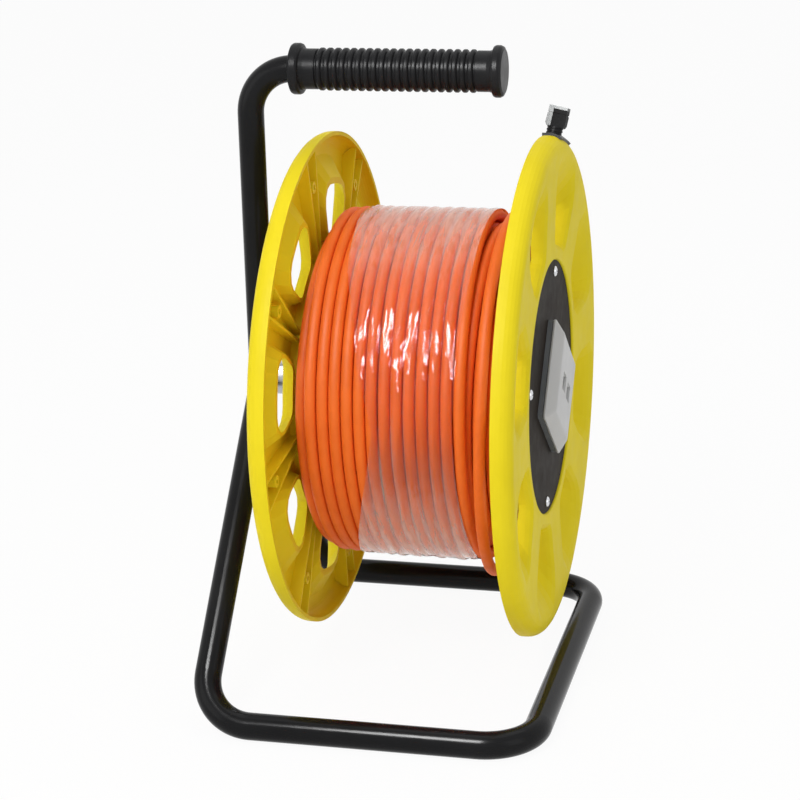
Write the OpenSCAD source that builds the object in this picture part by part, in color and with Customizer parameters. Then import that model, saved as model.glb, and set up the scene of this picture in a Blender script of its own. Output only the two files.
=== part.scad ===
/* [Frame] */
// Outside diameter of the bent steel tube
tube_d = 20; // [18:0.5:21]
// Wall of the steel tube
tube_wall = 1.5; // [1:0.25:2.5]
// Left tubes to right base tube, centre to centre
base_w = 243; // [238:1:300]
// Axle to the front base tube, centre to centre
front_reach = 206; // [195:1:260]
// Axle to the rear base tube, centre to centre
rear_reach = 104; // [80:1:150]
// Height of the axle above the floor
axle_h = 213; // [205:1:260]
// Height of the handle tube above the axle
handle_h = 243; // [236:1:300]
// How far the upright stands in front of the axle
upright_set = 17; // [0:1:30]
// Bend radius of the handle and rear tubes, on the centre line
bend_r = 34; // [28:1:45]
// Bend radius of the base corners, on the centre line
corner_r = 38; // [30:1:50]

/* [Handle grip] */
// Length of the grip
grip_l = 160; // [120:1:165]
// Outside diameter of the grip ribs
grip_d = 31.6; // [28:0.2:36]
// Diameter of the two grip end discs
grip_end_d = 38; // [36.5:0.5:44]
// Number of grip ribs
grip_ribs = 20; // [12:1:24]

/* [Axle] */
// Diameter of the axle
axle_d = 16; // [12:1:20]
// Running clearance of the axle in its sleeve, on the radius
run_gap = 0.05; // [0.02:0.01:0.09]
// Diameter of the spacer boss between frame and drum
boss_d = 30; // [26:1:36]
// Length of the bearing sleeve
sleeve_l = 120; // [90:1:140]
// Wall of the bearing sleeve
sleeve_wall = 5; // [3:0.5:7]
// Thickness of the axle washers
washer_t = 1.5; // [1:0.25:2.5]

/* [Drum] */
// Diameter of the flanges
flange_d = 380; // [370:1:400]
// Clear width between the two flanges
drum_w = 161; // [150:1:175]
// Depth of a flange moulding
flange_depth = 15; // [13:0.5:18]
// Frame tube centre to the outer face of the left flange
drum_gap = 38; // [33:0.5:45]
// Wall of the flange mouldings
flange_wall = 3; // [2.4:0.2:3.6]
// Rounding between rim and face
rim_round = 11; // [8:0.5:12]
// How much the face falls from rim to hub
dish = 4.2; // [2:0.2:5]
// Radius of the hub recess
hub_r = 97; // [94:0.5:98]
// Number of windows
window_count = 8; // [6:1:8]
// Inner radius of the windows
window_r1 = 107; // [106:0.5:112]
// Outer radius of the windows
window_r2 = 173; // [166:0.5:174]
// Width of a spoke between two windows, at the outer face
spoke_w = 40; // [36:1:42]
// How far the rim side of a window slopes in toward the drum
window_slope = 23; // [10:1:24]
// How far the sides of a window slope in
side_slope = 6; // [2:0.5:7]
// How far the hub side of a window slopes in
hub_slope = 4; // [1:0.5:5]
// Turn of the left flange's spokes about the drum axis
left_turn = -11.5; // [-22:0.5:22]
// Turn of the right flange's spokes about the drum axis
right_turn = -4.3; // [-22:0.1:22]
// Rounding of the window edges
edge_round = 5; // [3:0.5:6]
// Height of the window collars inside the moulding
collar_h = 10.5; // [6:0.5:11]
// Wall of the window collars
collar_wall = 3; // [2.6:0.2:3.4]
// Outer radius of the barrel
barrel_r = 95; // [90:0.5:96]
// Wall of the barrel
barrel_wall = 3; // [2.4:0.2:4]

/* [Hub and outlet] */
// Thickness of the hub plate
plate_t = 2.5; // [2:0.25:3.5]
// Pitch circle radius of the hub screws
screw_pcr = 88; // [84:0.5:89]
// Diameter of the hub screws
screw_d = 4; // [3:0.5:5]
// Side of the square outlet cover
outlet_w = 80; // [74:1:86]
// Depth of the outlet cover above the hub plate
outlet_h = 12.5; // [10:0.5:15]
// Bevel of the outlet cover, measured across its face
outlet_bevel = 9; // [5:0.5:12]
// Turn of the outlet about the drum axis
outlet_turn = -38.7; // [-90:0.1:90]
// Side of the square port windows
port_w = 13.5; // [12.5:0.5:15]
// Distance between the two port centres
port_pitch = 21; // [19:0.5:24]

/* [Cable] */
// Diameter of the data cable
cable_d = 8.8; // [7:0.1:8.8]
// Pitch of the turns
turn_pitch = 9.4; // [9.4:0.1:10]
// Outer radius of the winding
wind_r = 134; // [128:0.5:136]
// Slack of the last turn, under the drum
last_slack = 7; // [0:0.5:8]
// Wrapping film thickness
film_t = 0.4; // [0.3:0.1:0.6]

/* [Hidden] */

$fn = 96;
rt = tube_d / 2;
fr = flange_d / 2;
// places, measured from the floor centre under the whole reel
frame_x = -base_w / 2;
face_x = drum_w / 2 + flange_depth;
drum_x = frame_x + drum_gap + face_x;
axle_y = (front_reach + rt - fr) / 2;
// where the left frame plane lies when seen from the middle of the drum
fx = -drum_gap - face_x;
rx_bar = fx + base_w;
base_z = rt - axle_h;

module at_axle() {
    translate([drum_x, axle_y, axle_h]) children();
}

// revolve a (radius, x) profile about the drum axis
module spin_x() {
    rotate([90, 0, 90]) rotate_extrude() children();
}

// extrude a (y, z) outline from x0 to x1
module along_x(x0, x1) {
    translate([x0, 0, 0]) rotate([90, 0, 90]) linear_extrude(x1 - x0) children();
}

module rod_x(x0, x1, r) {
    translate([x0, 0, 0]) rotate([0, 90, 0]) cylinder(r = r, h = x1 - x0);
}

// ---- bent tube -------------------------------------------------------

// straight run of tube from a to b, as a solid of radius r
module run(a, b, r) {
    d = b - a;
    l = norm(d);
    translate(a) rotate([0, acos(d[2] / l), atan2(d[1], d[0])]) cylinder(r = r, h = l);
}

// bend of the angle a that starts at the origin along +Z and turns to +X
module bend(a, br, r) {
    translate([br, 0, 0]) rotate([90, 0, 0]) mirror([1, 0, 0]) rotate_extrude(angle = a)
        translate([br, 0]) circle(r = r);
}

function unit(v) = v / norm(v);

// place a bend at a corner c, coming from direction u and leaving along w
module corner(c, u, w, br, r) {
    a = acos(u * w);
    n = unit(w - (u * w) * u);
    q = cross(u, n);
    s = c - u * br * tan(a / 2);
    multmatrix([[n[0], q[0], u[0], s[0]], [n[1], q[1], u[1], s[1]], [n[2], q[2], u[2], s[2]]])
        bend(a, br, r);
}

top_l = [fx, -upright_set, handle_h];
kink = [fx, -upright_set, 0];
front_l = [fx, -front_reach, base_z];
front_rt = [rx_bar, -front_reach, base_z];
rear_rt = [rx_bar, rear_reach, base_z];
rear_l = [fx, rear_reach, base_z];
rear_top = [fx, rear_reach, 0];
leg_dir = unit(front_l - kink);
leg_turn = acos([0, 0, -1] * leg_dir);
kink_cut = bend_r * tan(leg_turn / 2);
grip_x1 = fx + bend_r + grip_l;
arm_x1 = grip_x1 - 8;

module handle_solid(r) {
    run([arm_x1, -upright_set, handle_h], top_l + [bend_r, 0, 0], r);
    corner(top_l, [-1, 0, 0], [0, 0, -1], bend_r, r);
    run(top_l - [0, 0, bend_r], kink + [0, 0, kink_cut], r);
}

// the leg's own frame: +Z down the leg, +X up and forward, -Y along the front bar
leg_run = norm(front_l - kink) - kink_cut - corner_r;
module leg_solid(r) {
    translate([0, 0, kink_cut]) {
        rotate([180, 0, 0]) bend(leg_turn, bend_r, r);
        cylinder(r = r, h = leg_run);
        translate([0, 0, leg_run]) rotate([0, 0, -90]) bend(90, corner_r, r);
    }
}

module base_solid(r) {
    run(front_l + [corner_r, 0, 0], front_rt - [corner_r, 0, 0], r);
    corner(front_rt, [1, 0, 0], [0, 1, 0], corner_r, r);
    run(front_rt + [0, corner_r, 0], rear_rt - [0, corner_r, 0], r);
    corner(rear_rt, [0, 1, 0], [-1, 0, 0], corner_r, r);
    run(rear_rt - [corner_r, 0, 0], rear_l + [corner_r, 0, 0], r);
    corner(rear_l, [-1, 0, 0], [0, 0, 1], corner_r, r);
}

module rear_solid(r, reach) {
    run(rear_l + [0, 0, corner_r], rear_top - [0, 0, bend_r], r);
    corner(rear_top, [0, 0, 1], [0, -1, 0], bend_r, r);
    run(rear_top - [0, bend_r, 0], kink - [0, reach, 0], r);
}

module handle_tube() {
    color("#141414") at_axle() difference() {
        handle_solid(rt);
        handle_solid(rt - tube_wall);
    }
}

module at_leg() {
    c = cos(leg_turn);
    d = sin(leg_turn);
    multmatrix([[0, -1, 0, kink[0]], [-c, 0, -d, kink[1]], [d, 0, -c, kink[2]]]) children();
}

module leg_tube() {
    color("#141414") at_axle() at_leg() difference() {
        leg_solid(rt);
        leg_solid(rt - tube_wall);
    }
}

module base_tube() {
    color("#141414") at_axle() difference() {
        base_solid(rt);
        base_solid(rt - tube_wall);
    }
}

// the stub's end is coped over the upright that it is welded to
module rear_tube() {
    color("#141414") at_axle() difference() {
        rear_solid(rt, 0);
        rear_solid(rt - tube_wall, 1);
        run(kink + [0, 0, 3 * rt], kink + [0, 0, kink_cut], rt);
        corner(kink, [0, 0, -1], leg_dir, bend_r, rt);
        run(kink + leg_dir * kink_cut, kink + leg_dir * 3 * rt, rt);
    }
}

// ---- axle ------------------------------------------------------------

sleeve_x0 = -face_x + 0.5;
sleeve_x1 = sleeve_x0 + sleeve_l;
boss_x1 = sleeve_x0 - washer_t - 0.6;
nut_h = 8;
thread_l = 14;

// welded to the stub tube, with a spacer boss that keeps the drum off the frame
module axle() {
    color("#8d9094") at_axle() difference() {
        union() {
            rod_x(fx, sleeve_x1 + thread_l, axle_d / 2);
            rod_x(fx, boss_x1, boss_d / 2);
            rod_x(sleeve_x1 + thread_l - 0.01, sleeve_x1 + thread_l + 1, axle_d / 2 - 1);
        }
        run([fx, rear_reach, 0], [fx, -upright_set - rt, 0], rt);
        at_leg() translate([0, 0, kink_cut]) rotate([180, 0, 0]) bend(leg_turn, bend_r, rt);
    }
}

module washer(x, r) {
    at_axle() difference() {
        rod_x(x, x + washer_t, r);
        rod_x(x - 1, x + washer_t + 1, axle_d / 2 + run_gap);
    }
}

module thrust_washer() {
    color("#c9ccd0") washer(boss_x1, boss_d / 2 - 1);
}

module end_washer() {
    color("#c9ccd0") washer(sleeve_x1 + 0.6, boss_d / 2);
}

module axle_nut() {
    x = sleeve_x1 + 0.6 + washer_t;
    color("#b9bcc0") at_axle() difference() {
        translate([x, 0, 0]) rotate([0, 90, 0]) cylinder(d = axle_d * 1.75, h = nut_h, $fn = 6);
        rod_x(x - 1, x + nut_h + 1, axle_d / 2);
    }
}

// ---- grip ------------------------------------------------------------

grip_x0 = grip_x1 - grip_l;
grip_disc = 8;
grip_neck = 12;
rib_pitch = (grip_l - 2 * grip_disc - 2 * grip_neck) / grip_ribs;
grip_core = grip_d / 2 - 1.9;

function rib(x) = [[grip_core, x + 0.12 * rib_pitch], [grip_d / 2 - 0.5, x + 0.24 * rib_pitch],
    [grip_d / 2, x + 0.36 * rib_pitch], [grip_d / 2, x + 0.64 * rib_pitch],
    [grip_d / 2 - 0.5, x + 0.76 * rib_pitch], [grip_core, x + 0.88 * rib_pitch]];

module handle_grip() {
    re = grip_end_d / 2;
    rn = grip_d / 2 - 0.8;
    x0 = grip_x0;
    x1 = grip_x0 + grip_disc;
    x2 = x1 + grip_neck;
    x3 = x2 + grip_ribs * rib_pitch;
    x4 = grip_x1 - grip_disc;
    pts = concat([[rt, x0], [re - 2, x0], [re - 0.6, x0 + 0.6], [re, x0 + 2], [re, x1 - 2],
        [re - 0.6, x1 - 0.6], [re - 2, x1], [rn + 0.8, x1], [rn, x1 + 3], [rn, x2 - 0.5], [grip_core, x2]],
        [for (i = [0 : grip_ribs - 1]) each rib(x2 + i * rib_pitch)],
        [[grip_core, x3], [rn, x3 + 0.5], [rn, x4 - 3], [rn + 0.8, x4], [re - 2, x4],
        [re - 0.6, x4 + 0.6], [re, x4 + 2], [re, grip_x1 - 3], [re - 1, grip_x1 - 1],
        [re - 3, grip_x1], [0, grip_x1], [0, x4], [rt, x4]]);
    color("#1b1b1b") at_axle() translate([0, -upright_set, handle_h]) spin_x() polygon(pts);
}

// ---- flanges ---------------------------------------------------------

rim_in = fr - flange_wall;
arc_r = fr - rim_round;
arc_x = face_x - rim_round;
// height of the dished face at radius r
function face_at(r) = face_x - dish * (arc_r - r) / (arc_r - hub_r);
ring_x = face_at(hub_r);
plate_x1 = ring_x - 1.7;
ledge_x1 = plate_x1 - plate_t;
ledge_x0 = ledge_x1 - flange_wall;
wall_x0 = drum_w / 2;
collar_x0 = face_x - flange_wall - collar_h;

module flange_profile(hole_r) {
    polygon(concat([[fr, wall_x0], [fr, arc_x]],
        [for (a = [15 : 15 : 75]) [arc_r + rim_round * cos(a), arc_x + rim_round * sin(a)]],
        [[arc_r, face_x], [hub_r + 1.5, face_at(hub_r + 1.5)], [hub_r + 0.4, ring_x - 0.4],
        [hub_r, ring_x - 1.2], [hub_r, ledge_x1], [hole_r, ledge_x1], [hole_r, ledge_x0],
        [barrel_r, ledge_x0], [barrel_r, wall_x0], [hub_r + flange_wall, wall_x0],
        [hub_r + flange_wall, face_at(hub_r + flange_wall) - flange_wall], [arc_r, face_x - flange_wall]],
        [for (a = [75 : -15 : 15]) [arc_r + (rim_round - flange_wall) * cos(a),
            arc_x + (rim_round - flange_wall) * sin(a)]],
        [[rim_in, arc_x], [rim_in, wall_x0]]));
}

half = 180 / window_count;

// corner circle centres of a window [inner radius, outer radius, half spoke, inner corner, outer corner]
// whose middle points to +v
function low_centre(w) = let (t = w[2] + w[3], a = sqrt(pow(w[0] + w[3], 2) - t * t))
    [a * sin(half) - t * cos(half), a * cos(half) + t * sin(half)];
function high_centre(w) = let (t = w[2] + w[4], a = sqrt(pow(w[1] - w[4], 2) - t * t))
    [a * sin(half) - t * cos(half), a * cos(half) + t * sin(half)];

// right half of the outline, from the bottom to the top, grown outward by g
function half_outline(w, g) = let (c1 = low_centre(w), c2 = high_centre(w), t1 = atan2(c1[1], c1[0]),
        t2 = atan2(c2[1], c2[0])) concat(
    [let (a = (90 + t1) / 2) (w[0] - g) * [cos(a), sin(a)]],
    [for (i = [0 : 3]) let (a = (t1 - 180) + (-half - (t1 - 180)) * i / 3) c1 + (w[3] + g) * [cos(a), sin(a)]],
    [for (i = [0 : 3]) let (a = -half + (t2 + half) * i / 3) c2 + (w[4] + g) * [cos(a), sin(a)]],
    [for (i = [1 : 2]) let (a = t2 + (90 - t2) * i / 3) (w[1] + g) * [cos(a), sin(a)]]);

function outline(w, g) = let (h = half_outline(w, g)) concat([[0, w[0] - g]], h, [[0, w[1] + g]],
    [for (i = [len(h) - 1 : -1 : 0]) [-h[i][0], h[i][1]]]);

// outline at the outer face and at the collar's free end, and the way that each point grows
wide = outline([window_r1, window_r2, spoke_w / 2, 12, 20], 0);
grown = outline([window_r1, window_r2, spoke_w / 2, 12, 20], 1);
tight = outline([window_r1 + hub_slope, window_r2 - window_slope, spoke_w / 2 + side_slope, 9, 13], 0);
n_out = len(wide);

function turned(p, a) = [p[0] * cos(a) + p[1] * sin(a), p[1] * cos(a) - p[0] * sin(a)];
// share of the slope that is reached at x
function slope_at(x) = (face_x - x) / (face_x - collar_x0);
// outline point i at x, grown by g
function win_point(i, x, g) = wide[i] + (tight[i] - wide[i]) * slope_at(x) + (grown[i] - wide[i]) * g;
// outline point i at a depth under the dished face
function face_point(i, g, depth) = let (x = face_at(norm(wide[i])) - depth, p = win_point(i, x, g))
    [x, p[0], p[1]];
function spin(v, a) = let (q = turned([v[1], v[2]], a)) [v[0], q[0], q[1]];

// rings of the window cutter: [growth, depth under the face]
er = edge_round;
cut_rings = concat([[er * (1 - sin(25)) + 0.6 * er, er * (1 - cos(25)) - 0.6 * er * tan(25)]],
    [for (a = [25, 55, 90]) [er * (1 - sin(a)), er * (1 - cos(a))]]);

// closed solid through rings of n points each
module loft(rings) {
    n = len(rings[0]);
    m = len(rings) - 1;
    polyhedron([for (r = rings) each r], concat(
        [[for (i = [n - 1 : -1 : 0]) i]],
        [for (j = [0 : m - 1]) for (i = [0 : n - 1]) [j * n + i, j * n + (i + 1) % n, (j + 1) * n + (i + 1) % n]],
        [for (j = [0 : m - 1]) for (i = [0 : n - 1]) [j * n + i, (j + 1) * n + (i + 1) % n, (j + 1) * n + i]],
        [[for (i = [0 : n - 1]) m * n + i]]), convexity = 6);
}

module window_cutter(a) {
    all = [0 : n_out - 1];
    g0 = cut_rings[0][0];
    loft(concat(
        [[for (i = all) let (p = win_point(i, face_x, g0)) spin([face_x + 3, p[0], p[1]], a)]],
        [for (k = cut_rings) [for (i = all) spin(face_point(i, k[0], k[1]), a)]],
        [for (x = [collar_x0, wall_x0 - 5]) [for (i = all) spin([x, tight[i][0], tight[i][1]], a)]]));
}

// the collar's body round a window, thicker where its rim side slopes
module collar(a) {
    function wall(i) = collar_wall + 2 * pow(max(0, (grown[i] - wide[i]) * unit(wide[i])), 2);
    loft([for (x = [face_x, collar_x0]) [for (i = [0 : n_out - 1])
        let (p = win_point(i, x, wall(i))) spin([x, p[0], p[1]], a)]]);
}

function window_angle(i) = -half + (i + 1) * 2 * half;
boss_r0 = 160;

module spoke_ribs(i) {
    rotate(-i * 2 * half) {
        for (s = [-1, 1]) {
            polygon([[s * 2, hub_r + 1], [s * 4, hub_r + 1], [s * 13, rim_in + 1], [s * 11, rim_in + 1]]);
        }
        translate([0, boss_r0]) circle(d = 9, $fn = 32);
    }
}

// the inside of the moulding, under its skin
module flange_room() {
    spin_x() polygon([[hub_r + 1, collar_x0], [hub_r + 1, face_at(hub_r + 1) - 1],
        [arc_r, face_x - 1], [rim_in + 1, arc_x], [rim_in + 1, collar_x0]]);
}

module flange(hole_r, turn) {
    difference() {
        union() {
            spin_x() flange_profile(hole_r);
            intersection() {
                flange_room();
                for (i = [0 : window_count - 1]) {
                    collar(window_angle(i) + turn);
                }
            }
            intersection() {
                flange_room();
                rotate([-turn, 0, 0]) along_x(collar_x0, face_x) {
                    for (i = [0 : window_count - 1]) {
                        spoke_ribs(i);
                    }
                }
            }
        }
        for (i = [0 : window_count - 1]) {
            window_cutter(window_angle(i) + turn);
            rotate([-i * 2 * half - turn, 0, 0]) translate([0, 0, boss_r0]) rod_x(wall_x0, face_x - flange_wall, 2);
        }
        screw_places(0) rod_x(ledge_x0 - 1, ledge_x1 + 1, screw_d / 2 + 0.2);
    }
}

// slot in the rim that the free end of the cable leaves through
module rim_notch() {
    w = cable_d / 2 + 0.8;
    rotate([-15, 0, 0]) {
        translate([85, 0, rim_in - 4]) cylinder(r = w, h = 12);
        translate([wall_x0 - 1, -w, rim_in - 4]) cube([86 - wall_x0, 2 * w, 12]);
    }
}

module screw_places(turn) {
    for (k = [0 : 3]) {
        rotate([-13 - 90 * k + turn, 0, 0]) translate([0, 0, screw_pcr]) children();
    }
}

module right_flange() {
    color("#f2e21c") at_axle() difference() {
        flange(barrel_r - 14, right_turn);
        rim_notch();
    }
}

// the left moulding is closed by a ribbed hub web round the bearing sleeve
module left_flange() {
    sr = axle_d / 2 + sleeve_wall;
    color("#f2e21c") at_axle() mirror([1, 0, 0]) union() {
        flange(sr, left_turn);
        difference() {
            along_x(ledge_x1, ledge_x1 + 4) for (k = [0 : 7]) {
                rotate(22.5 + 45 * k) translate([-1, sr + 4]) square([2, hub_r - sr - 3.5]);
            }
            screw_places(0) rod_x(ledge_x0, face_x, 6);
        }
        difference() {
            rod_x(ledge_x1, ledge_x1 + 6, sr + 5);
            rod_x(ledge_x1 - 1, ledge_x1 + 7, sr);
        }
    }
}

// ---- barrel, sleeve, screws -------------------------------------------

web_x = sleeve_x1 - 22;
pilot_l = 16;

// screw bosses that stand inward from the barrel's wall
module boss_ring() {
    for (k = [0 : 3]) {
        rotate(-13 - 90 * k) translate([0, screw_pcr]) union() {
            circle(r = 5);
            translate([-5, 0]) square([10, barrel_r - screw_pcr - barrel_wall / 2]);
        }
    }
}

module drum_barrel() {
    sr = axle_d / 2 + sleeve_wall;
    ri = barrel_r - barrel_wall;
    color("#e8d81a") at_axle() difference() {
        union() {
            spin_x() polygon([[ri, -ledge_x0], [barrel_r, -ledge_x0], [barrel_r, ledge_x0], [ri, ledge_x0],
                [ri, web_x + 3], [sr + 4, web_x + 3], [sr + 4, web_x + 12], [sr, web_x + 12],
                [sr, web_x - 6], [sr + 4, web_x - 6], [sr + 4, web_x], [ri, web_x]]);
            for (s = [-1, 1]) {
                mirror([s < 0 ? 1 : 0, 0, 0]) along_x(ledge_x0 - pilot_l - 2, ledge_x0) boss_ring();
            }
        }
        for (s = [-1, 1]) {
            screw_places(0) mirror([s < 0 ? 1 : 0, 0, 0]) rod_x(ledge_x0 - pilot_l, ledge_x0 + 1, screw_d / 2);
        }
    }
}

module bearing_sleeve() {
    sr = axle_d / 2 + sleeve_wall;
    color("#2a2a2a") at_axle() difference() {
        rod_x(sleeve_x0, sleeve_x1, sr);
        rod_x(sleeve_x0 - 1, sleeve_x1 + 1, axle_d / 2 + run_gap);
    }
}

// pan head screws: the head's seat is at x, the shank runs toward -X
module hub_screw(x, shank) {
    difference() {
        union() {
            rod_x(x - shank, x + 0.5, screw_d / 2);
            translate([x, 0, 0]) spin_x() polygon([[0, 0], [4, 0], [4, 0.9], [3.4, 1.8], [2, 2.4], [0, 2.5]]);
        }
        for (a = [0, 90]) {
            rotate([a, 0, 0]) translate([x + 1.2, -2, -0.4]) cube([3, 4, 0.8]);
        }
    }
}

module right_screws() {
    color("#c8cacc") at_axle() screw_places(0) hub_screw(plate_x1, plate_t + flange_wall + pilot_l - 2);
}

module left_screws() {
    color("#c8cacc") at_axle() mirror([1, 0, 0]) screw_places(0) hub_screw(ledge_x1, flange_wall + pilot_l - 2);
}

// ---- hub plate and outlet ---------------------------------------------

module outlet_turned() {
    rotate([outlet_turn, 0, 0]) children();
}

box_w = outlet_w - 24;
module hub_plate() {
    color("#2b2420") at_axle() difference() {
        rod_x(ledge_x1, plate_x1, hub_r - 0.3);
        outlet_turned() translate([ledge_x1 - 1, -box_w / 2, -box_w / 2]) cube([plate_t + 2, box_w, box_w]);
        screw_places(0) rod_x(ledge_x1 - 1, plate_x1 + 1, screw_d / 2 + 0.2);
    }
}

face_w = outlet_w - 2 * outlet_bevel;
outlet_x1 = plate_x1 + outlet_h;
cover_wall = 2;
jack_x1 = outlet_x1 - cover_wall - 3.2;
box_x0 = ledge_x1 - 22;

module square_yz(w) {
    translate([-w / 2, -w / 2]) square(w);
}

// back box in the plate's opening, with a lip that lies on the plate
module outlet_box() {
    color("#bcbdbd") at_axle() outlet_turned() difference() {
        union() {
            along_x(box_x0, plate_x1) square_yz(box_w);
            along_x(plate_x1, plate_x1 + 1.5) square_yz(outlet_w - 2 * cover_wall - 0.4);
        }
        along_x(box_x0 + 2, plate_x1 + 2) square_yz(box_w - 4);
    }
}

shutter_gap = 0.3;
function port_y(s) = s * port_pitch / 2;

module outlet_cover() {
    e = outlet_bevel;
    h = outlet_h - 4;
    color("#c9cac9") at_axle() outlet_turned() difference() {
        intersection() {
            along_x(plate_x1, outlet_x1) square_yz(outlet_w);
            translate([0, 0, outlet_w]) rotate([-90, 0, 0]) translate([0, 0, -outlet_w])
                translate([0, outlet_w, 0]) linear_extrude(2 * outlet_w)
                polygon([[plate_x1, -outlet_w / 2], [plate_x1 + h, -outlet_w / 2], [outlet_x1, e - outlet_w / 2],
                    [outlet_x1, outlet_w / 2 - e], [plate_x1 + h, outlet_w / 2], [plate_x1, outlet_w / 2]]);
            translate([0, 0, -outlet_w]) linear_extrude(2 * outlet_w)
                polygon([[plate_x1, -outlet_w / 2], [plate_x1 + h, -outlet_w / 2], [outlet_x1, e - outlet_w / 2],
                    [outlet_x1, outlet_w / 2 - e], [plate_x1 + h, outlet_w / 2], [plate_x1, outlet_w / 2]]);
        }
        along_x(plate_x1 - 1, plate_x1 + h - 2) square_yz(outlet_w - 2 * cover_wall);
        along_x(plate_x1, outlet_x1 - cover_wall) square_yz(face_w - 2);
        for (s = [-1, 1]) {
            translate([0, port_y(s), 0]) along_x(plate_x1, outlet_x1 + 1) square_yz(port_w);
        }
    }
}

// keystone jack with its square-shouldered socket, standing in the back box
module port(s) {
    jw = port_w + 3.5;
    color("#303234") at_axle() outlet_turned() translate([0, port_y(s), 0]) difference() {
        along_x(box_x0 + 2, jack_x1) square_yz(jw);
        translate([jack_x1 - 13, -5.9, -4.4]) cube([14, 11.8, 8]);
        translate([jack_x1 - 13, -3.1, -6]) cube([14, 6.2, 3]);
    }
}

module port_a() {
    port(-1);
}

module port_b() {
    port(1);
}

// dust shutter that slides up behind the cover's face
module shutter(s) {
    w = port_w + 3;
    x0 = jack_x1 + shutter_gap;
    x1 = outlet_x1 - cover_wall - shutter_gap;
    color("#f3f4f2") at_axle() outlet_turned() translate([0, port_y(s), 0]) difference() {
        along_x(x0, x1) square_yz(w);
        along_x(x1 - 0.8, x1 + 1) translate([-port_w / 2 + 2, -port_w / 2 + 1.5]) square([port_w - 4, 1.6]);
    }
}

module shutter_a() {
    shutter(-1);
}

module shutter_b() {
    shutter(1);
}

// ---- cable -----------------------------------------------------------

rw = wind_r - cable_d / 2;
// one loop has this many rings, and its chords lie inside the circle
loop_rings = 24;
sag = rw * (1 - cos(180 / loop_rings));
core_r = rw - sag - cable_d / 2 - 0.3;
wind_x0 = -wall_x0 + 2.5 + cable_d / 2 + 0.6;
wind_x1 = wall_x0 - 2.5 - cable_d / 2;
// degrees from the top toward the back; the cable runs forward, down and up the back
end_a = 62;
turns = (wind_x1 - wind_x0) / turn_pitch;
wind_n = floor(turns * loop_rings);
step_a = 360 / loop_rings;
function on_drum(x, r, a) = [x, r * sin(a), r * cos(a)];
function wind_a(i) = end_a + (wind_n - i) * step_a;
// the last turn hangs looser under the drum
function slack(i) = i < wind_n - loop_rings ? 0
    : last_slack * pow(max(0, cos((wind_a(i) - 180) * 0.75)), 2);
function wind_p(i) = on_drum(wind_x0 + i * turn_pitch / loop_rings, rw + slack(i), wind_a(i));
// direction of travel at angle a
function travel(a) = [0, -cos(a), sin(a)];
function outward(a) = [0, sin(a), cos(a)];
start_dir = unit(travel(wind_a(0)) * cos(20) + outward(wind_a(0)) * sin(20));
wind_path = concat([wind_p(0) - start_dir * cable_d * 1.4, wind_p(0) - start_dir * cable_d * 0.4],
    [for (i = [0 : wind_n]) wind_p(i)], [wind_p(wind_n) + travel(end_a) * cable_d]);

function dir_at(p, i) = i == 0 ? unit(p[1] - p[0]) : i == len(p) - 1 ? unit(p[i] - p[i - 1])
    : unit(unit(p[i] - p[i - 1]) + unit(p[i + 1] - p[i]));

// tube of radius r with k sides along the points p
module tube_along(p, r, k) {
    m = len(p);
    pts = [for (i = [0 : m - 1]) let (t = dir_at(p, i), u = unit(cross([1, 0, 0], t)), v = cross(t, u))
        for (j = [0 : k - 1]) p[i] + r * (cos(360 * j / k + 180 / k) * u + sin(360 * j / k + 180 / k) * v)];
    polyhedron(pts, concat([[for (j = [k - 1 : -1 : 0]) j]],
        [for (i = [0 : m - 2]) for (j = [0 : k - 1]) [i * k + j, i * k + (j + 1) % k, (i + 1) * k + (j + 1) % k]],
        [for (i = [0 : m - 2]) for (j = [0 : k - 1]) [i * k + j, (i + 1) * k + (j + 1) % k, (i + 1) * k + j]],
        [[for (j = [0 : k - 1]) (m - 1) * k + j]]), convexity = 20);
}

module cable_winding() {
    color("#f06a1e") at_axle() tube_along(wind_path, cable_d / 2, 6);
}

// least distance between points of neighbouring turns, less the cable
wind_gap = min([for (i = [0 : wind_n - loop_rings]) norm(wind_p(i) - wind_p(i + loop_rings))]) - cable_d;
echo(wind_gap = wind_gap);

// the inner layers, with the cable's climb into the outer layer
module cable_core() {
    s = wind_path[0];
    color("#e8631c") at_axle() difference() {
        union() {
            rod_x(-wall_x0 + 2.5, wall_x0 - 2.5, core_r);
            run(s - start_dir * 34, s, cable_d / 2);
        }
        rod_x(-face_x, face_x, barrel_r);
    }
}

plug_ang = 15;
// where the plug's boot starts, just outside the rim
boot_gap = 3;
tail_top = on_drum(85, fr + boot_gap, plug_ang);
plug_dir = unit([0.2, sin(plug_ang), cos(plug_ang)]);
// route of the free end: [x, radius, degrees from the top toward the back]
tail_marks = [[75, 133, 50], [76, 140, 41], [77, 149, 33], [77, 159, 26], [79, 170, 19], [81, 180, 15.5]];
tail_in = wind_path[len(wind_path) - 1];
tail_ctrl = concat([tail_in - travel(end_a) * cable_d, tail_in, tail_in + travel(end_a) * 6],
    [for (m = tail_marks) on_drum(m[0], m[1], m[2])],
    [tail_top - plug_dir * 5, tail_top, tail_top + plug_dir * 12]);

function spline(p, i, s) = 0.5 * ((2 * p[i]) + (p[i + 1] - p[i - 1]) * s
    + (2 * p[i - 1] - 5 * p[i] + 4 * p[i + 1] - p[i + 2]) * s * s
    + (3 * p[i] - p[i - 1] - 3 * p[i + 1] + p[i + 2]) * s * s * s);
tail_path = concat([for (i = [1 : len(tail_ctrl) - 3]) for (s = [0, 0.5]) spline(tail_ctrl, i, s)],
    [tail_top]);

module cable_tail() {
    color("#f06a1e") at_axle() tube_along(tail_path, cable_d / 2, 8);
}

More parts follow.
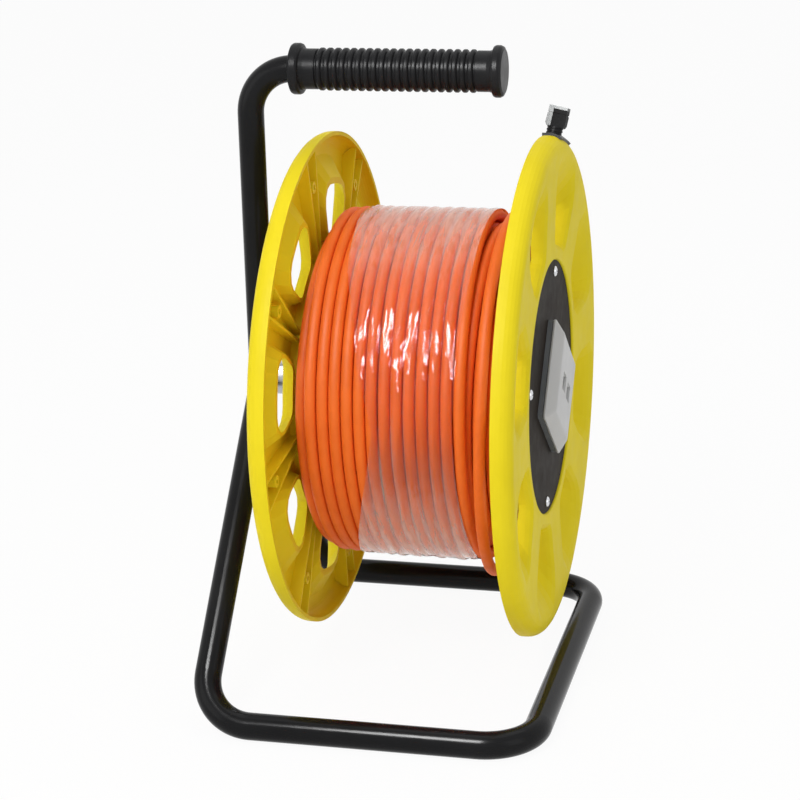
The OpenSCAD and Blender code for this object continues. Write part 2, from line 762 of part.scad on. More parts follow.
// stretch film round the middle turns
film_x0 = -26;
film_x1 = 62;
module cable_film() {
    color("#f4d8c4", 0.5) at_axle() difference() {
        rod_x(film_x0, film_x1, wind_r + 0.3 + film_t);
        rod_x(film_x0 - 1, film_x1 + 1, wind_r + 0.3);
    }
}

// ---- plug ------------------------------------------------------------

// the plug's own frame: +Z leaves the cable, +X toward the drum's right
module at_plug() {
    z = plug_dir;
    y = unit(cross(z, [1, 0, 0]));
    x = cross(y, z);
    o = tail_top;
    at_axle() multmatrix([[x[0], y[0], z[0], o[0]], [x[1], y[1], z[1], o[1]], [x[2], y[2], z[2], o[2]]])
        children();
}

boot_h = 4;
body_l = 15;
module plug_boot() {
    color("#161616") at_plug() translate([0, 0, 0.3])
        cylinder(d1 = cable_d + 3, d2 = cable_d + 3.6, h = boot_h - 0.3);
}

module plug_body() {
    z0 = boot_h;
    z1 = boot_h + body_l;
    color("#1c1c1c") at_plug() difference() {
        translate([0, 5.5, 0]) rotate([90, 0, 0]) linear_extrude(11) polygon([[-6.5, z0], [6.5, z0], [7.5, z0 + 2],
            [7.5, z0 + 9], [6.7, z0 + 10], [6.7, z1], [-6.7, z1], [-6.7, z0 + 10], [-7.5, z0 + 9], [-7.5, z0 + 2]]);
        // contact slots in the nose
        for (k = [0 : 7]) {
            translate([-4.2 + 1.1 * k, -6, z1 - 5]) cube([0.6, 3, 6]);
        }
    }
}

// bright sleeve round the nose, open at its end
module plug_shield() {
    z1 = boot_h + body_l;
    color("#b8babc") at_plug() difference() {
        translate([-7.2, -6, z1 - 4.8]) cube([14.4, 12, 5.3]);
        translate([-6.7, -5.5, z1 - 5]) cube([13.4, 11, 6]);
    }
}

module plug_latch() {
    z1 = boot_h + body_l;
    color("#9aa0a2") at_plug() rotate([90, 0, 90]) translate([0, 0, -3]) linear_extrude(6)
        polygon([[6, z1], [7, z1], [8.4, z1 - 12], [7.4, z1 - 12.2], [6.6, z1 - 4.8], [6, z1 - 4.8]]);
}

// saddle that hugs the rim round the slot, hooks over its edge and carries the boot
clip_t = 2;
module plug_clip() {
    ro = rim_round + clip_t;
    color("#161616") at_axle() difference() {
        union() {
            intersection() {
                spin_x() polygon(concat([[rim_in, wall_x0 - clip_t], [fr + clip_t, wall_x0 - clip_t], [fr + clip_t, arc_x]],
                    [for (a = [15, 30, 45]) [arc_r + ro * cos(a), arc_x + ro * sin(a)]],
                    [for (a = [45, 30, 15]) [arc_r + rim_round * cos(a), arc_x + rim_round * sin(a)]],
                    [[fr, arc_x], [fr, wall_x0], [rim_in, wall_x0]]));
                rotate([-plug_ang, 0, 0]) translate([wall_x0 - 5, -16, 100]) cube([30, 42, 120]);
            }
        }
        run(tail_top - plug_dir * 14, tail_top + plug_dir * 6, cable_d / 2 + 0.6);
        rotate([-plug_ang, 0, 0]) translate([wall_x0 - 5, -cable_d / 2 - 0.6, rim_in - 5])
            cube([10.2, cable_d + 1.2, 12]);
    }
}

handle_tube();
leg_tube();
base_tube();
rear_tube();
axle();
thrust_washer();
end_washer();
axle_nut();
handle_grip();
left_flange();
right_flange();
drum_barrel();
bearing_sleeve();
left_screws();
right_screws();
hub_plate();
outlet_box();
outlet_cover();
port_a();
port_b();
shutter_a();
shutter_b();
cable_core();
cable_winding();
cable_tail();
cable_film();
plug_boot();
plug_body();
plug_shield();
plug_latch();
plug_clip();
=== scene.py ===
import math

import bmesh
import bpy
from mathutils import Matrix, Vector, noise
from mathutils.geometry import tessellate_polygon


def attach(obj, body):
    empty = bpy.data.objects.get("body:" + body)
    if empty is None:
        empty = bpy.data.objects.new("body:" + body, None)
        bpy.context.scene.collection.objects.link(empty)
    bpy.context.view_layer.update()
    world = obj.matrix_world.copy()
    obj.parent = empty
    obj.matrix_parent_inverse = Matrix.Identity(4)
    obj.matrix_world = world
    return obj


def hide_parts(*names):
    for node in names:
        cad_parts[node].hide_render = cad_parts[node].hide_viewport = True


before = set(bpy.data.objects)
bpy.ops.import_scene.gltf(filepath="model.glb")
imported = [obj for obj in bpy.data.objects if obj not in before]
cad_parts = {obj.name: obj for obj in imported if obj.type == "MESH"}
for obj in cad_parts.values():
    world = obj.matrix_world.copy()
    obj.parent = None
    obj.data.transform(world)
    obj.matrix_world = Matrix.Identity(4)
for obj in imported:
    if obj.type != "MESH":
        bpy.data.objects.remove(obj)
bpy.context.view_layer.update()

# ---------------------------------------------------------------- sizes, as in part.scad (mm, degrees)
# Lengths along the drum (x) are from its middle; angles are from the top toward the back.
MM = 0.001
AXLE = Vector((12.0, 13.0, 213.0))
FLANGE_R = 190.0
WALL_X0 = 80.5  # inner face of a flange
CABLE_D = 8.8
PITCH = 9.4
WIND_R = 134.0
WALL_GAP = 2.5  # between a flange and the winding
START_GAP = 0.6  # more of it at the first turn
WIND_X0 = -WALL_X0 + WALL_GAP + CABLE_D / 2 + START_GAP
TURN_PARTS = 24  # the source counts its turns in 24ths
TURNS = int((WALL_X0 - WALL_GAP - CABLE_D / 2 - WIND_X0) / PITCH * TURN_PARTS) / TURN_PARTS
END_A = 62.0  # where the last turn ends
TAIL = ((75, 133, 50), (76, 140, 41), (76.8, 149.1, 30.4), (77.5, 155.8, 24.8), (78.6, 163, 20.5),
        (80.2, 171.3, 17.3), (82.3, 180.7, 15.6))  # x, radius and angle of points on the free end
PLUG_A = 15.0
PLUG_X = 85.0
PLUG_LIFT = 3  # from the flange's rim to the end of the cable
PLUG_LEAN = 0.2  # of the plug toward the outlet side
OUTLET_TURN = -38.7
COVER_HALF = 40.0
COVER_X1 = 102.1  # face of the outlet cover
COVER_WALL = 2.0
PORT_Y = 10.5  # half the distance between the ports
PORT_HALF = 6.75


def rad(a):
    return math.radians(a)


def outward(a):
    """Direction away from the drum's axis at an angle."""
    return Vector((0.0, math.sin(rad(a)), math.cos(rad(a))))


def travel(a):
    """Direction in which the cable runs at an angle."""
    return Vector((0.0, -math.cos(rad(a)), math.sin(rad(a))))


def on_drum(x, r, a):
    """Point at x along the drum, radius r and angle a, in metres."""
    return (AXLE + Vector((x, r * math.sin(rad(a)), r * math.cos(rad(a))))) * MM


def add_object(name, data):
    o = bpy.data.objects.new(name, data)
    bpy.context.scene.collection.objects.link(o)
    return o


# ---------------------------------------------------------------- camera
CAM_LENS = 103.14
CAM_POS = (378.73, -1646.15, 512.51)  # from the drum's middle
CAM_AIM = (-28.3, 0.0, -16.3)
CAM_ROLL = -1.463

bpy.context.scene.view_settings.view_transform = "Standard"
cam_data = bpy.data.cameras.new("camera")
cam_data.lens = CAM_LENS
cam_data.sensor_width = 36.0
cam_data.sensor_fit = "HORIZONTAL"
cam_data.clip_end = 60
cam = add_object("camera", cam_data)
cam_pos = (AXLE + Vector(CAM_POS)) * MM
cam_aim = (AXLE + Vector(CAM_AIM)) * MM
cam_rot = (cam_aim - cam_pos).to_track_quat("-Z", "Y").to_matrix().to_4x4()
cam.matrix_world = Matrix.Translation(cam_pos) @ cam_rot @ Matrix.Rotation(rad(CAM_ROLL), 4, "Z")
bpy.context.scene.camera = cam

# ---------------------------------------------------------------- cable: four layers and the free end
LAYERS = (99.9, 109.8, 119.7, WIND_R - CABLE_D / 2)  # radius of the cable's middle
TOP = 3  # the outer layer
OUTER = TURNS - 1  # turns in the outer layer
STEPS = 72  # points in a turn
CLIMB = 0.35  # share of a turn in which the cable climbs to the next layer
UNEVEN_R = 0.30  # how far turns lie off their radius, and off their place along the drum
UNEVEN_X = 0.3
UNEVEN_X_INNER = 0.14
START_DIP = 2.2  # the outer layer's first turns lie lower, by the left flange
START_TURNS = 1.4
SLACK = 13.0  # sag of the last turn, under the drum
SAG_SPREAD = 0.75  # smaller makes the sag reach further round
BLEND = (-0.06, -0.03, 0.0, 0.03, 0.06)  # in turns, for smoothing the last turn's place
LEAD_OUT = 6  # straight run where the free end leaves the winding, more than the cable's diameter
LEAD_IN = 12  # straight run into the plug
LAST = ((-1.58, 46.5), (-1.33, 48.0), (-1.15, 54.0), (-1.0, 59.0), (-0.83, 61.3), (-0.58, 62.2),
        (-0.45, 57.5), (-0.33, 51.8), (-0.2, 57.0), (-0.1, 64.5), (0.0, 71.5))  # turns before the end, x


def catmull(p, i, s):
    """Point on the smooth curve through p, a share s of the way from p[i] to p[i + 1]."""
    a, b, c, d = p[i - 1], p[i], p[i + 1], p[i + 2]
    return 0.5 * (2 * b + (c - a) * s + (2 * a - 5 * b + 4 * c - d) * s * s + (3 * b - a - 3 * c + d) * s ** 3)


def layer_r(layer, turn):
    """Radius of the middle of the cable in one layer, a little uneven from turn to turn."""
    r = LAYERS[layer] + UNEVEN_R * noise.noise(Vector((turn * 0.9, 3.1 + layer, 0.2)))
    if layer == TOP:
        r -= START_DIP * math.exp(-turn / START_TURNS)
        a = (OUTER - turn) * 360.0 + END_A
        if turn > OUTER - 1:
            r += SLACK * max(0.0, math.cos(rad((a - 180) * SAG_SPREAD))) ** 2
    return r


def last_x(t):
    """Place of the last turn, t turns before its end: it stands off the others and sags underneath."""
    for (t0, x0), (t1, x1) in zip(LAST, LAST[1:]):
        if t <= t1:
            return x0 + (x1 - x0) * (t - t0) / (t1 - t0)
    return LAST[-1][1]


def layer_x(layer, turn):
    """Place along the drum after that many turns from the left."""
    if layer < TOP:
        return WIND_X0 + turn * PITCH + UNEVEN_X_INNER * noise.noise(Vector((turn * 1.7, 7.7 + layer, 1.4)))
    t0, x0 = LAST[0]
    t = turn - OUTER
    x = WIND_X0 + (x0 - WIND_X0) * turn / (OUTER + t0)
    if t > t0:
        x = sum(last_x(max(t0, t + d)) for d in BLEND) / len(BLEND)
    return x + UNEVEN_X * noise.noise(Vector((turn * 2.6, 2.2, 8.4)))


route = []  # in mm
for layer in range(TOP + 1):
    for k in range(int(round((OUTER if layer == TOP else TURNS) * STEPS))):
        s = k / STEPS - OUTER - (TOP - layer) * TURNS
        turn = k / STEPS if layer % 2 else TURNS - k / STEPS
        climbed = 0.5 - 0.5 * math.cos(math.pi * min(1.0, k / (STEPS * CLIMB)))
        r = layer_r(layer, turn)
        if layer:
            below = layer_r(layer - 1, 0.0 if layer % 2 else TURNS)
            r = below + (r - below) * climbed
        route.append(AXLE + Vector((layer_x(layer, turn), 0, 0)) + outward(END_A - s * 360.0) * r)
route.append(AXLE + Vector((layer_x(TOP, OUTER), 0, 0)) + outward(END_A) * layer_r(TOP, OUTER))

# the plug's own directions: z along it, y to its back, x to its right
plug_z = Vector((PLUG_LEAN, math.sin(rad(PLUG_A)), math.cos(rad(PLUG_A)))).normalized()
plug_y = plug_z.cross(Vector((1, 0, 0))).normalized()
plug_x = plug_y.cross(plug_z)
tail_top = on_drum(PLUG_X, FLANGE_R + PLUG_LIFT, PLUG_A) / MM
ctrl = [route[-6], route[-1], route[-1] + travel(END_A) * (CABLE_D + LEAD_OUT)]
ctrl += [on_drum(*mark) / MM for mark in TAIL]
ctrl += [tail_top, tail_top + plug_z * LEAD_IN]
for i in range(1, len(ctrl) - 2):
    route += [catmull(ctrl, i, s) for s in (0.0, 0.25, 0.5, 0.75) if i > 1 or s > 0]
route.append(tail_top)

curve = bpy.data.curves.new("cable", "CURVE")
curve.dimensions = "3D"
curve.bevel_depth = CABLE_D / 2 * MM
curve.bevel_resolution = 4
curve.use_fill_caps = True
spline = curve.splines.new("POLY")
spline.points.add(len(route) - 1)
for point, p in zip(spline.points, route):
    point.co = (p.x * MM, p.y * MM, p.z * MM, 1.0)
spline.use_smooth = True
cable = add_object("cable", curve)


# ---------------------------------------------------------------- material helpers
def level(v):
    return (v, v, v)


def node(nt, kind, **vals):
    """New node, with its inputs or settings given by name."""
    n = nt.nodes.new(kind)
    for k, v in vals.items():
        if k in n.inputs.keys():
            n.inputs[k].default_value = v
        else:
            setattr(n, k, v)
    return n


def fed(nt, kind, *values, **vals):
    """New node whose inputs are, in order, linked to sockets or set to plain values."""
    n = node(nt, kind, **vals)
    for socket, value in zip(n.inputs, values):
        if isinstance(value, bpy.types.NodeSocket):
            nt.links.new(value, socket)
        else:
            socket.default_value = value
    return n


def calc(nt, operation, *values):
    return fed(nt, "ShaderNodeMath", *values, operation=operation).outputs[0]


def vector_calc(nt, operation, *values):
    n = fed(nt, "ShaderNodeVectorMath", *values, operation=operation)
    return n.outputs["Value" if operation == "DOT_PRODUCT" else "Vector"]


def mix_shaders(nt, share, first, second):
    return fed(nt, "ShaderNodeMixShader", share, first.outputs[0], second.outputs[0])


def empty_tree(owner):
    """Node tree of a material or world, with nothing in it but its output."""
    owner.use_nodes = True
    nt = owner.node_tree
    nt.nodes.clear()
    kind = "World" if isinstance(owner, bpy.types.World) else "Material"
    return nt, nt.nodes.new("ShaderNodeOutput" + kind).inputs["Surface"]


def new_mat(name):
    m = bpy.data.materials.new(name)
    nt, surface = empty_tree(m)
    bsdf = nt.nodes.new("ShaderNodeBsdfPrincipled")
    nt.links.new(bsdf.outputs["BSDF"], surface)
    return m, nt, bsdf


def coords(nt, scale=(1, 1, 1)):
    tc = nt.nodes.new("ShaderNodeTexCoord")
    mp = node(nt, "ShaderNodeMapping", Scale=scale)
    nt.links.new(tc.outputs["Object"], mp.inputs["Vector"])
    return mp.outputs["Vector"]


def noise_tex(nt, vector, **vals):
    n = node(nt, "ShaderNodeTexNoise", **vals)
    nt.links.new(vector, n.inputs["Vector"])
    return n.outputs["Fac"]


def ramp(nt, src, stops):
    r = nt.nodes.new("ShaderNodeValToRGB")
    els = r.color_ramp.elements
    while len(els) < len(stops):
        els.new(0.5)
    for e, (pos, col) in zip(els, stops):
        e.position = pos
        e.color = (*col, 1.0)
    nt.links.new(src, r.inputs["Fac"])
    return r.outputs["Color"]


def vary(nt, src, socket, low, high, start=0.3, end=0.7):
    """Feeds a socket with a ramp from one colour to another."""
    nt.links.new(ramp(nt, src, [(start, low), (end, high)]), socket)


def bump(nt, bsdf, height, strength, distance):
    b = node(nt, "ShaderNodeBump", Strength=strength, Distance=distance)
    nt.links.new(height, b.inputs["Height"])
    nt.links.new(b.outputs["Normal"], bsdf.inputs["Normal"])


# ---------------------------------------------------------------- materials
SHELL_LEFT, SHELL_END = -0.0034, 0.0174  # the plug shows metal beyond these, from the end of the cable (m)


def moulded(name, col, dark, rough, grain, grain_depth=0.00002, flow=22.0, spec=0.5):
    """Moulded plastic: slight flow marks in colour and gloss, and a fine grain."""
    m, nt, b = new_mat(name)
    v = coords(nt)
    marks = noise_tex(nt, v, Scale=flow, Detail=4.0, Roughness=0.55)
    vary(nt, marks, b.inputs["Base Color"], dark, col)
    gloss = noise_tex(nt, v, Scale=flow * 3.3, Detail=5.0, Roughness=0.6)
    vary(nt, gloss, b.inputs["Roughness"], level(rough[0]), level(rough[1]), end=0.75)
    bump(nt, b, noise_tex(nt, v, Scale=grain, Detail=2.0), 0.35, grain_depth)
    b.inputs["Specular IOR Level"].default_value = spec
    return m


def paint():
    """Gloss black powder coat with a faint orange peel."""
    m, nt, b = new_mat("black_paint")
    v = coords(nt)
    peel = noise_tex(nt, v, Scale=160.0, Detail=3.0, Roughness=0.5)
    cloud = noise_tex(nt, v, Scale=14.0, Detail=4.0)
    vary(nt, cloud, b.inputs["Base Color"], (0.006, 0.006, 0.0065), (0.011, 0.011, 0.012), end=0.75)
    vary(nt, cloud, b.inputs["Roughness"], level(0.14), level(0.24), end=0.8)
    bump(nt, b, peel, 0.25, 0.00012)
    b.inputs["Specular IOR Level"].default_value = 0.11
    return m


def metal(name, col, rough):
    """Drawn or plated metal with fine marks along the drum's axis."""
    m, nt, b = new_mat(name)
    marks = noise_tex(nt, coords(nt, (40, 400, 400)), Scale=3.0, Detail=6.0, Roughness=0.7)
    vary(nt, marks, b.inputs["Roughness"], level(rough[0]), level(rough[1]))
    vary(nt, marks, b.inputs["Base Color"], tuple(c * 0.82 for c in col), col, 0.35, 0.65)
    b.inputs["Metallic"].default_value = 1.0
    bump(nt, b, marks, 0.2, 0.00003)
    return m


def clear(name):
    """Clear hard plastic."""
    m, nt, b = new_mat(name)
    cloud = noise_tex(nt, coords(nt), Scale=90.0, Detail=3.0)
    vary(nt, cloud, b.inputs["Base Color"], (0.72, 0.75, 0.76), (0.82, 0.85, 0.86))
    vary(nt, cloud, b.inputs["Roughness"], level(0.08), level(0.2))
    b.inputs["Transmission Weight"].default_value = 0.7
    b.inputs["IOR"].default_value = 1.5
    return m


def plug_shell():
    """Black plug with bright metal along its left side and its open end."""
    m, nt, b = new_mat("plug_shell")
    v = coords(nt)
    from_tail = vector_calc(nt, "SUBTRACT", v, tail_top * MM)
    left = calc(nt, "LESS_THAN", vector_calc(nt, "DOT_PRODUCT", from_tail, plug_x), SHELL_LEFT)
    end = calc(nt, "GREATER_THAN", vector_calc(nt, "DOT_PRODUCT", from_tail, plug_z), SHELL_END)
    bright = calc(nt, "MAXIMUM", left, end)
    grain = noise_tex(nt, v, Scale=600.0, Detail=4.0)
    mix = fed(nt, "ShaderNodeMixRGB", bright)
    vary(nt, grain, mix.inputs[1], (0.012, 0.012, 0.013), (0.022, 0.022, 0.023))
    vary(nt, grain, mix.inputs[2], (0.07, 0.072, 0.072), (0.17, 0.173, 0.173))
    nt.links.new(mix.outputs[0], b.inputs["Base Color"])
    nt.links.new(bright, b.inputs["Metallic"])
    vary(nt, grain, b.inputs["Roughness"], level(0.46), level(0.6))
    bump(nt, b, grain, 0.1, 0.00001)
    b.inputs["Specular IOR Level"].default_value = 0.04
    return m


def film_mat():
    """Clear film: long creased facets that catch the light, and haze where it is seen edge on, tinted warm with
    painted orange light bounced from the cable.
    """
    m = bpy.data.materials.new("stretch_film")
    nt, surface = empty_tree(m)
    v = coords(nt)
    # facets: stretched cells, each with its own tilt of the normal
    warp = node(nt, "ShaderNodeTexNoise", Scale=16.0, Detail=3.0)
    nt.links.new(v, warp.inputs["Vector"])
    shifted = vector_calc(nt, "MULTIPLY_ADD", warp.outputs["Color"], (0.022, 0.03, 0.03), v)
    stretched = fed(nt, "ShaderNodeMapping", shifted, Scale=(500.0, 66.0, 66.0))
    cells = fed(nt, "ShaderNodeTexVoronoi", stretched.outputs[0], Scale=1.0)
    centred = vector_calc(nt, "SUBTRACT", cells.outputs["Color"], level(0.5))
    normal = nt.nodes.new("ShaderNodeNewGeometry").outputs["Normal"]
    tilted = vector_calc(nt, "MULTIPLY_ADD", centred, (0.42, 0.34, 0.34), normal)
    fine = noise_tex(nt, coords(nt, (3.0, 0.6, 0.6)), Scale=70.0, Detail=4.0, Roughness=0.6, Distortion=1.0)
    crease = node(nt, "ShaderNodeBump", Strength=0.35, Distance=0.0006)
    nt.links.new(fine, crease.inputs["Height"])
    nt.links.new(vector_calc(nt, "NORMALIZE", tilted), crease.inputs["Normal"])
    gloss = node(nt, "ShaderNodeBsdfGlossy", Roughness=0.045, Color=(1, 1, 1, 1))
    nt.links.new(crease.outputs["Normal"], gloss.inputs["Normal"])
    # haze: more of it edge on, in streaks; its warm colour is painted light, orange bounced from the cable
    # beneath
    # warm haze colour: painted bounce light from the orange cable, on a haze that is really near white
    haze_and_painted_bounce = node(nt, "ShaderNodeBsdfDiffuse", Color=(0.88, 0.72, 0.63, 1))
    facing = node(nt, "ShaderNodeLayerWeight", Blend=0.5).outputs["Facing"]
    amount = ramp(nt, facing, [(0.06, level(0.0)), (0.20, level(0.08)), (0.38, level(0.36)), (0.8, level(0.6))])
    streaks = noise_tex(nt, coords(nt, (8.0, 1.0, 1.0)), Scale=24.0, Detail=3.0, Roughness=0.55, Distortion=0.4)
    veil = calc(nt, "MULTIPLY", amount, ramp(nt, streaks, [(0.30, level(0.40)), (0.65, level(1))]))
    hazed = mix_shaders(nt, veil, nt.nodes.new("ShaderNodeBsdfTransparent"), haze_and_painted_bounce)
    fresnel = node(nt, "ShaderNodeFresnel", IOR=1.27)
    nt.links.new(mix_shaders(nt, fresnel.outputs["Fac"], hazed, gloss).outputs[0], surface)
    return m


yellow = moulded("yellow_moulding", (0.91, 0.735, 0.020), (0.86, 0.69, 0.016), (0.46, 0.60), 700.0, spec=0.06)
orange = moulded("cable_jacket", (0.93, 0.175, 0.016), (0.86, 0.150, 0.012), (0.50, 0.64), 1100.0,
                 flow=40.0, spec=0.2)
grey = moulded("outlet_grey", level(0.58), level(0.54), (0.34, 0.46), 1400.0, spec=0.4)
# the rim's dark grey is painted shade: it darkens the shaded lower wall of the outlet cover
rim_painted_shade = moulded("outlet_rim_painted_shade", (0.17, 0.18, 0.19), (0.14, 0.15, 0.16), (0.4, 0.5), 1400.0, spec=0.25)
white = moulded("shutter_white", (0.86, 0.87, 0.85), (0.80, 0.81, 0.79), (0.25, 0.35), 1400.0)
black = moulded("black_plastic", (0.016, 0.016, 0.017), (0.010, 0.010, 0.011), (0.30, 0.45), 1300.0, spec=0.12)
socket_black = moulded("socket_black", (0.03, 0.03, 0.034), (0.02, 0.02, 0.022), (0.4, 0.55), 900.0)
plate = moulded("hub_plate_dark", (0.032, 0.026, 0.021), (0.022, 0.018, 0.015), (0.5, 0.64), 500.0, spec=0.03)
rubber = moulded("grip_rubber", (0.020, 0.020, 0.021), (0.013, 0.013, 0.014), (0.26, 0.40), 1600.0,
                 grain_depth=0.00004, spec=0.07)
black_paint = paint()
steel = metal("axle_steel", (0.50, 0.51, 0.52), (0.22, 0.4))
zinc = metal("bright_zinc", (0.74, 0.75, 0.77), (0.14, 0.3))
latch_clear = clear("latch_clear")
plug_look = plug_shell()

# the solids that stay as they are in the CAD model
for mat, names in (
        (black_paint, ("handle_tube", "leg_tube", "base_tube", "rear_tube")),
        (steel, ("axle",)),
        (zinc, ("thrust_washer", "end_washer", "axle_nut", "left_screws", "right_screws")),
        (rubber, ("handle_grip",)),
        (yellow, ("left_flange", "right_flange", "drum_barrel")),
        (black, ("bearing_sleeve", "plug_clip")),
        (plate, ("hub_plate",)),
        (grey, ("outlet_box",)),
        (socket_black, ("port_a", "port_b")),
        (white, ("shutter_a", "shutter_b")),
        (plug_look, ("plug_body", "plug_shield")),
        (latch_clear, ("plug_latch",))):
    for name in names:
        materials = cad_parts[name].data.materials
        materials.clear()
        materials.append(mat)


# ---------------------------------------------------------------- mesh helpers
SHARP_ANGLE = 32


def bridge(bm, rings, close=False):
    """Walls from each ring of vertices to the next, and from the last to the first where close is set."""
    for a, b in zip(rings, rings[1:] + rings[:1] if close else rings[1:]):
        for i in range(len(a)):
            j = (i + 1) % len(a)
            bm.faces.new((a[i], a[j], b[j], b[i]))


def drum_piece(bm, name, mat, slot, *nodes):
    """Smooth piece made of a bmesh, which rides on the drum and stands for CAD nodes."""
    me = bpy.data.meshes.new(name)
    bm.to_mesh(me)
    bm.free()
    me.shade_smooth()
    me.materials.append(mat)
    o = add_object(name, me)
    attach(o, "drum")
    if nodes:
        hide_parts(*nodes)
    return o


def hard_piece(bm, *details):
    """Drum piece of a closed bmesh, with sharp edges where its faces meet at an angle."""
    bmesh.ops.recalc_face_normals(bm, faces=bm.faces)
    o = drum_piece(bm, *details)
    o.data.set_sharp_from_angle(angle=rad(SHARP_ANGLE))
    return o


# ---------------------------------------------------------------- the plug's boot, and the cord
BOOT_SIDES = 30  # points round the boot
BOOT = ((-2.7, 4.75), (-2.7, 5.7), (-2.3, 6.1), (-0.6, 6.1), (-0.3, 5.7), (0.4, 5.7), (0.7, 6.2), (1.9, 6.2),
        (2.2, 5.8), (2.8, 5.8), (3.1, 6.3), (3.95, 6.3), (3.95, 4.75))  # height above the tail's end, radius


def plug_point(up, r, a):
    """Point on a circle round the plug's axis, in metres."""
    return (tail_top + plug_z * up + (plug_x * math.cos(rad(a)) + plug_y * math.sin(rad(a))) * r) * MM


bm = bmesh.new()
bridge(bm, [[bm.verts.new(plug_point(up, r, 360 * i / BOOT_SIDES)) for i in range(BOOT_SIDES)] for up, r in BOOT],
       close=True)
boot = hard_piece(bm, "boot", black, "black_plastic", "plug_boot")

curve.materials.append(orange)
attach(cable, "drum")
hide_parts("cable_core", "cable_winding", "cable_tail")

# ---------------------------------------------------------------- outlet cover and its back rim
# each ring is its x, how far it is drawn in from the cover's outline, and the radius of its corners
COVER_OUTSIDE = ((93.9, 0.5, 3.2), (94.0, 0.1, 3.5), (94.3, 0.0, 3.6), (95.2, 0.0, 3.6), (95.5, 0.2, 3.5),
                 (95.9, 0.6, 3.4), (101.2, 7.4, 2.6), (101.6, 8.0, 2.4), (101.9, 8.7, 2.2), (COVER_X1, 9.7, 2.0))
COVER_INSIDE = ((93.9, 2.2, 2.6), (95.3, 2.3, 2.6), (99.4, 8.6, 2.0), (COVER_X1 - COVER_WALL, 10.6, 1.8))
RIM = ((89.65, 0.6, 3.0), (93.2, 0.6, 3.0), (93.6, 1.0, 2.8), (93.6, 2.1, 2.0), (89.65, 2.1, 2.0))
SQUARE = ((1, 1), (-1, 1), (-1, -1), (1, -1))
CORNER_STEPS = 6


def turned(x, u, v):
    """Point in the outlet's own square, in metres: x along the drum, u across, v up."""
    c, s = math.cos(rad(OUTLET_TURN)), math.sin(rad(OUTLET_TURN))
    return (AXLE + Vector((x, u * c - v * s, u * s + v * c))) * MM


def square_ring(bm, x, inset, r):
    """Ring of vertices with the cover's outline, drawn in by inset, with corners of radius r."""
    mid = COVER_HALF - inset - r
    ring = []
    for k, (su, sv) in enumerate(SQUARE):
        for i in range(CORNER_STEPS + 1):
            a = rad(90 * k + 90 * i / CORNER_STEPS)
            ring.append(bm.verts.new(turned(x, su * mid + r * math.cos(a), sv * mid + r * math.sin(a))))
    return ring


def holed_face(bm, ring, x):
    """Flat face inside a ring, with the two port openings; returns the rings of the openings."""
    holes = [[bm.verts.new(turned(x, side * PORT_Y + su * PORT_HALF, sv * PORT_HALF)) for su, sv in SQUARE]
             for side in (-1, 1)]
    loops = [ring] + holes
    flat = [v for loop in loops for v in loop]
    for tri in tessellate_polygon([[v.co for v in loop] for loop in loops]):
        bm.faces.new([flat[i] for i in tri])
    return holes


bm = bmesh.new()
outer = [square_ring(bm, *row) for row in COVER_OUTSIDE]
inner = [square_ring(bm, *row) for row in COVER_INSIDE]
bridge(bm, outer)
bridge(bm, inner)
bridge(bm, [inner[0], outer[0]])
for pair in zip(holed_face(bm, outer[-1], COVER_X1), holed_face(bm, inner[-1], COVER_X1 - COVER_WALL)):
    bridge(bm, pair)
hard_piece(bm, "cover_plate", grey, "grey_plastic", "outlet_cover")

# rim between the plate and the cover, standing for the cover's lower wall; its dark grey is painted shade
bm = bmesh.new()
bridge(bm, [square_ring(bm, *row) for row in RIM], close=True)
hard_piece(bm, "cover_rim", rim_painted_shade, "grey_plastic")

# ---------------------------------------------------------------- stretch film round the middle turns
FILM_X = (-18.0, 42.5)  # left and right edge
FILM_REACH = (-34.0, 5.0)  # how far each edge goes out over the top and underneath
FILM_WAVE = (3.0, 0.8)
FILM_GAP = 0.35  # above the cable
FILM_DIP = 0.8  # between two turns
LONG_CREASE, SHORT_CREASE = 1.5, 0.8
ACROSS, ROUND = 140, 420  # points


def edge_x(a, side):
    """Left (side 0) or right (side 1) edge of the film, a little wavy."""
    w = noise.noise(Vector((math.cos(rad(a)) * 2.6 + side * 9, math.sin(rad(a)) * 2.6, 3.0)))
    over = abs(math.cos(rad(a))) ** 1.3
    return FILM_X[side] + FILM_REACH[side] * over + FILM_WAVE[side] * w


def crests(a):
    """Place and radius of the top of each turn of the outer layer at one angle."""
    t = (OUTER - (a - END_A) / 360.0) % 1.0
    out = []
    while t <= OUTER:
        out.append((layer_x(TOP, t), layer_r(TOP, t) + CABLE_D / 2 + FILM_GAP))
        t += 1.0
    return out


def film_r(x, a, tops):
    """Radius of the film: taut over the turns, dipping a little between them, with loose creases."""
    k = 1
    while k < len(tops) - 1 and tops[k][0] < x:
        k += 1
    (x0, r0), (x1, r1) = tops[k - 1], tops[k]
    f = max(0.0, min(1.0, (x - x0) / (x1 - x0)))
    dip = FILM_DIP * (1 - abs(math.cos(math.pi * f)))
    long_crease = LONG_CREASE * max(0.0, noise.noise(Vector((x * 0.16, a * 0.028, 5.0))) - 0.12)
    short_crease = SHORT_CREASE * max(0.0, noise.noise(Vector((x * 0.45, a * 0.05, 9.0))) - 0.25)
    return r0 + (r1 - r0) * f - dip + long_crease + short_crease


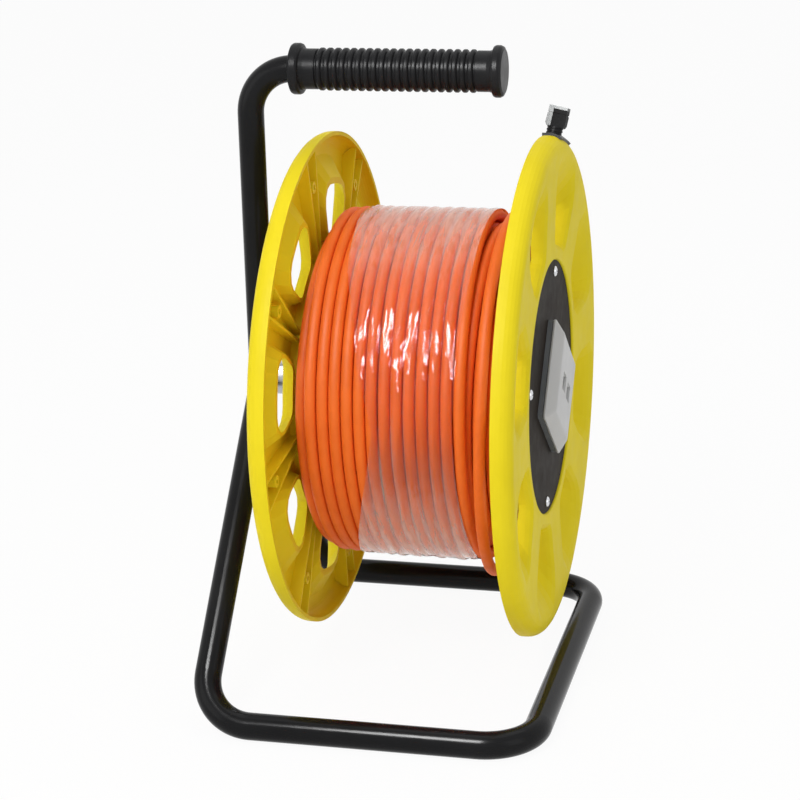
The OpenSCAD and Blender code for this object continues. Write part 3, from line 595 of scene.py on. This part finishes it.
bm = bmesh.new()
rows = []
for v in range(ROUND):
    a = 360.0 * v / ROUND
    tops = crests(a)
    x0, x1 = edge_x(a, 0), edge_x(a, 1)
    across = [x0 + (x1 - x0) * u / (ACROSS - 1) for u in range(ACROSS)]
    rows.append([bm.verts.new(on_drum(x, film_r(x, a, tops), a)) for x in across])
for row, after in zip(rows, rows[1:] + rows[:1]):
    for u in range(ACROSS - 1):
        bm.faces.new((row[u], row[u + 1], after[u + 1], after[u]))
film = drum_piece(bm, "film", film_mat(), "film", "cable_film")

# ---------------------------------------------------------------- floor, world and lamps
FLOOR_SIZE = 40
FLOOR_GLOW = 0.94  # share of the floor that shows as white background; the rest takes the shadow
AMBIENT = 0.45  # light of the surroundings on the object
BACKGROUND = 1.0  # white


def seen_rays(nt):
    """1 for rays that show the background: camera, glossy and transmission."""
    rays = nt.nodes.new("ShaderNodeLightPath").outputs
    seen = calc(nt, "MAXIMUM", rays["Is Camera Ray"], rays["Is Glossy Ray"])
    return calc(nt, "MAXIMUM", seen, rays["Is Transmission Ray"])


def lamp(name, pos, aim, size, power, shine_only=False):
    """Soft rectangular lamp, which isn't seen itself; with shine_only it gives highlights alone."""
    d = bpy.data.lights.new(name, "AREA")
    d.shape = "RECTANGLE"
    d.size, d.size_y = size
    d.energy = power
    o = add_object(name, d)
    o.location = pos
    o.rotation_euler = (Vector(aim) - Vector(pos)).to_track_quat("-Z", "Y").to_euler()
    o.visible_camera = False
    o.visible_diffuse = not shine_only


bpy.ops.mesh.primitive_plane_add(size=FLOOR_SIZE, location=(0, 0, 0))
floor = bpy.context.object
floor.name = "floor"
floor_mat = bpy.data.materials.new("floor")
nt, surface = empty_tree(floor_mat)
matt = node(nt, "ShaderNodeBsdfDiffuse", Color=(0.95, 0.95, 0.95, 1))
glow = node(nt, "ShaderNodeEmission", Strength=BACKGROUND)
share = calc(nt, "MULTIPLY", seen_rays(nt), FLOOR_GLOW)
nt.links.new(mix_shaders(nt, share, matt, glow).outputs[0], surface)
floor.data.materials.append(floor_mat)

world = bpy.data.worlds.new("world")
bpy.context.scene.world = world
nt, surface = empty_tree(world)
soft = node(nt, "ShaderNodeBackground", Strength=AMBIENT, Color=(1, 1, 1, 1))
bright = node(nt, "ShaderNodeBackground", Strength=BACKGROUND, Color=(1, 1, 1, 1))
nt.links.new(mix_shaders(nt, seen_rays(nt), soft, bright).outputs[0], surface)

lamp("key", (-0.19, -1.15, 1.27), (0, 0, 0.25), (0.50, 0.40), 9)
lamp("glint", (-0.15, -1.05, 1.18), (0, -0.1, 0.25), (0.42, 0.46), 36, shine_only=True)
lamp("left", (-1.7, -1.3, 0.9), (0, 0, 0.22), (1.2, 1.4), 5)
lamp("right", (1.8, -1.1, 0.9), (0, 0, 0.22), (1.0, 1.4), 3.6)
lamp("top", (0.1, 0.5, 2.2), (0, 0, 0.2), (1.6, 1.6), 8)
